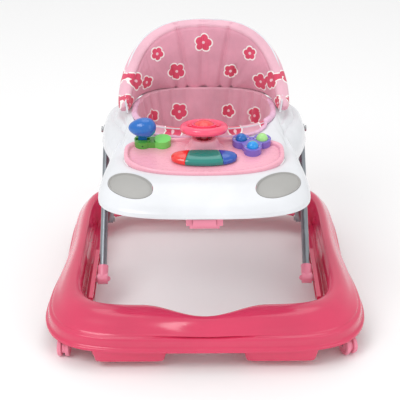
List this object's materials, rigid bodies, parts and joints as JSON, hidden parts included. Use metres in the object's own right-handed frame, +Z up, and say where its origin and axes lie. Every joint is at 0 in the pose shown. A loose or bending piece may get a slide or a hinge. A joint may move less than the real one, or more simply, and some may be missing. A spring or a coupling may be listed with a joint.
{
  "type": "baby walker",
  "caption": "Baby walker with a ring base on swivel casters, a folding cross-leg frame, a tray with a toy panel and a padded seat.",
  "frame": {"origin": "middle of the base's outline, on the floor under the casters", "axes": "+X to the right seen from the front, -Y to the front of the walker, +Z up"},
  "size_m": [0.6802, 0.71, 0.553],
  "materials": {
    "base_pink": "smooth moulded, satin gloss",
    "light_pink": "moulded",
    "panel_pink": "moulded",
    "tray_white": "moulded, soft gloss",
    "lamp_silver": "silver metallic paint",
    "tube_steel": "satin",
    "steel": "satin",
    "nylon": "moulded",
    "dark_red": "moulded",
    "wheel_pink": "moulded",
    "horn_red": "moulded",
    "toy_green": "moulded",
    "toy_blue": "moulded",
    "pale_green": "moulded",
    "toy_purple": "moulded",
    "key_red": "translucent",
    "key_teal": "translucent",
    "key_blue": "translucent",
    "board_green": "solder mask",
    "black_plastic": "moulded",
    "seat_fabric": "printed cotton over padding"
  },
  "bodies": {
    "base": {"base_shell": "base_pink", "slide_rails": "base_pink", "pivot_brackets": "base_pink", "rear_pins": "steel", "caster_sockets": "base_pink", "stopper_blocks": "base_pink", "base_screws": "steel"},
    "rear_leg_frame": {"rear_legs": "tube_steel", "upper_sliders": "nylon", "centre_pins": "steel"},
    "front_leg_frame": {"front_legs": "tube_steel", "front_shoes": "light_pink"},
    "tray": {"tray_shell": "tray_white", "headlights": "lamp_silver", "slider_guides": "tray_white", "hinge_brackets": "tray_white", "top_pins": "steel", "adjuster_housing": "light_pink", "release_spring": "steel", "lock_plate": "nylon", "toy_panel": "panel_pink", "panel_cover": "tray_white", "steering_column": "dark_red", "gear_housing": "toy_green", "gear_pin": "steel", "spinner_housing": "toy_purple", "spinner_axles": "steel", "key_springs": "steel", "circuit_board": "board_green", "speaker": "black_plastic", "battery_box": "black_plastic", "battery_door": "tray_white", "seat_ring": "tray_white", "seat_bowl": "seat_fabric", "backrest_board": "tray_white", "backrest_cushion": "seat_fabric"},
    "release": {"release_lever": "light_pink"},
    "steering": {"steering_wheel": "wheel_pink", "horn_spring": "steel"},
    "horn": {"horn_button": "horn_red"},
    "gear": {"gear_lever": "toy_blue", "gear_knob": "toy_blue"},
    "ball_left_body": {"ball_left": "toy_blue"},
    "ball_right_body": {"ball_right": "pale_green"},
    "ball_front_body": {"ball_front": "toy_blue"},
    "key_left_body": {"key_left": "key_red"},
    "key_middle_body": {"key_middle": "key_teal"},
    "key_right_body": {"key_right": "key_blue"},
    "caster_front_left": {"caster_fork_1": "light_pink", "caster_axle_1": "steel"},
    "wheels_front_left": {"caster_wheels_1": "light_pink"},
    "caster_front_right": {"caster_fork_2": "light_pink", "caster_axle_2": "steel"},
    "wheels_front_right": {"caster_wheels_2": "light_pink"},
    "caster_rear_left": {"caster_fork_3": "light_pink", "caster_axle_3": "steel"},
    "wheels_rear_left": {"caster_wheels_3": "light_pink"},
    "caster_rear_right": {"caster_fork_4": "light_pink", "caster_axle_4": "steel"},
    "wheels_rear_right": {"caster_wheels_4": "light_pink"}
  },
  "joints": [
    {"name": "leg_fold", "type": "hinge", "parent": "base", "child": "rear_leg_frame", "pos_m": [0, 0.185, 0.07], "axis": [-1, 0, 0], "range_deg": [-29, 15]},
    {"name": "leg_cross", "type": "hinge", "parent": "rear_leg_frame", "child": "front_leg_frame", "pos_m": [0, 0.04348, 0.18791], "axis": [-1, 0, 0], "range_deg": [-30, 58]},
    {"name": "tray_level", "type": "hinge", "parent": "front_leg_frame", "child": "tray", "pos_m": [0, 0.185, 0.30582], "axis": [-1, 0, 0], "range_deg": [-29, 15]},
    {"name": "release_press", "type": "slide", "parent": "tray", "child": "release", "axis": [0, 1, 0], "range_m": [0, 0.008], "stiffness_N_per_m": 300, "springref_m": -0.01},
    {"name": "steering_turn", "type": "hinge", "parent": "tray", "child": "steering", "pos_m": [0, -0.062, 0.416], "axis": [0, 0.1564, 0.9877], "range_deg": [-60, 60]},
    {"name": "horn_press", "type": "slide", "parent": "steering", "child": "horn", "axis": [0, 0.1564, 0.9877], "range_m": [-0.0015, 0], "stiffness_N_per_m": 500, "springref_m": 0.003},
    {"name": "gear_swing", "type": "hinge", "parent": "tray", "child": "gear", "pos_m": [-0.13, -0.05639, 0.38117], "axis": [0, 0.9921, 0.1253], "range_deg": [-12, 12]},
    {"name": "ball_left_spin", "type": "hinge", "parent": "tray", "child": "ball_left_body", "pos_m": [0.079, -0.05776, 0.38805], "axis": [1, 0, 0], "continuous": true},
    {"name": "ball_right_spin", "type": "hinge", "parent": "tray", "child": "ball_right_body", "pos_m": [0.123, -0.05776, 0.38805], "axis": [1, 0, 0], "continuous": true},
    {"name": "ball_front_spin", "type": "hinge", "parent": "tray", "child": "ball_front_body", "pos_m": [0.102, -0.08852, 0.38417], "axis": [1, 0, 0], "continuous": true},
    {"name": "key_left_press", "type": "slide", "parent": "tray", "child": "key_left_body", "axis": [0, -0.1253, 0.9921], "range_m": [-0.002, 0], "stiffness_N_per_m": 500, "springref_m": 0.003},
    {"name": "key_middle_press", "type": "slide", "parent": "tray", "child": "key_middle_body", "axis": [0, -0.1253, 0.9921], "range_m": [-0.002, 0], "stiffness_N_per_m": 500, "springref_m": 0.003},
    {"name": "key_right_press", "type": "slide", "parent": "tray", "child": "key_right_body", "axis": [0, -0.1253, 0.9921], "range_m": [-0.002, 0], "stiffness_N_per_m": 500, "springref_m": 0.003},
    {"name": "caster_front_left_swivel", "type": "hinge", "parent": "base", "child": "caster_front_left", "pos_m": [-0.293, -0.277, 0.045], "axis": [0, 0, 1], "continuous": true},
    {"name": "wheels_front_left_roll", "type": "hinge", "parent": "caster_front_left", "child": "wheels_front_left", "pos_m": [-0.29405, -0.28895, 0.021], "axis": [-0.9962, 0.0872, 0], "continuous": true},
    {"name": "caster_front_right_swivel", "type": "hinge", "parent": "base", "child": "caster_front_right", "pos_m": [0.293, -0.277, 0.045], "axis": [0, 0, 1], "continuous": true},
    {"name": "wheels_front_right_roll", "type": "hinge", "parent": "caster_front_right", "child": "wheels_front_right", "pos_m": [0.29807, -0.28788, 0.021], "axis": [-0.9063, -0.4226, 0], "continuous": true},
    {"name": "caster_rear_left_swivel", "type": "hinge", "parent": "base", "child": "caster_rear_left", "pos_m": [-0.262, 0.285, 0.045], "axis": [0, 0, 1], "continuous": true},
    {"name": "wheels_rear_left_roll", "type": "hinge", "parent": "caster_rear_left", "child": "wheels_rear_left", "pos_m": [-0.2579, 0.27372, 0.021], "axis": [-0.9397, -0.342, 0], "continuous": true},
    {"name": "caster_rear_right_swivel", "type": "hinge", "parent": "base", "child": "caster_rear_right", "pos_m": [0.262, 0.285, 0.045], "axis": [0, 0, 1], "continuous": true},
    {"name": "wheels_rear_right_roll", "type": "hinge", "parent": "caster_rear_right", "child": "wheels_rear_right", "pos_m": [0.2579, 0.27372, 0.021], "axis": [-0.9397, 0.342, 0], "continuous": true}
  ],
  "couplings": [
    {"joint": "leg_cross", "follows": "leg_fold", "ratio": -2},
    {"joint": "tray_level", "follows": "leg_fold", "ratio": 1}
  ]
}
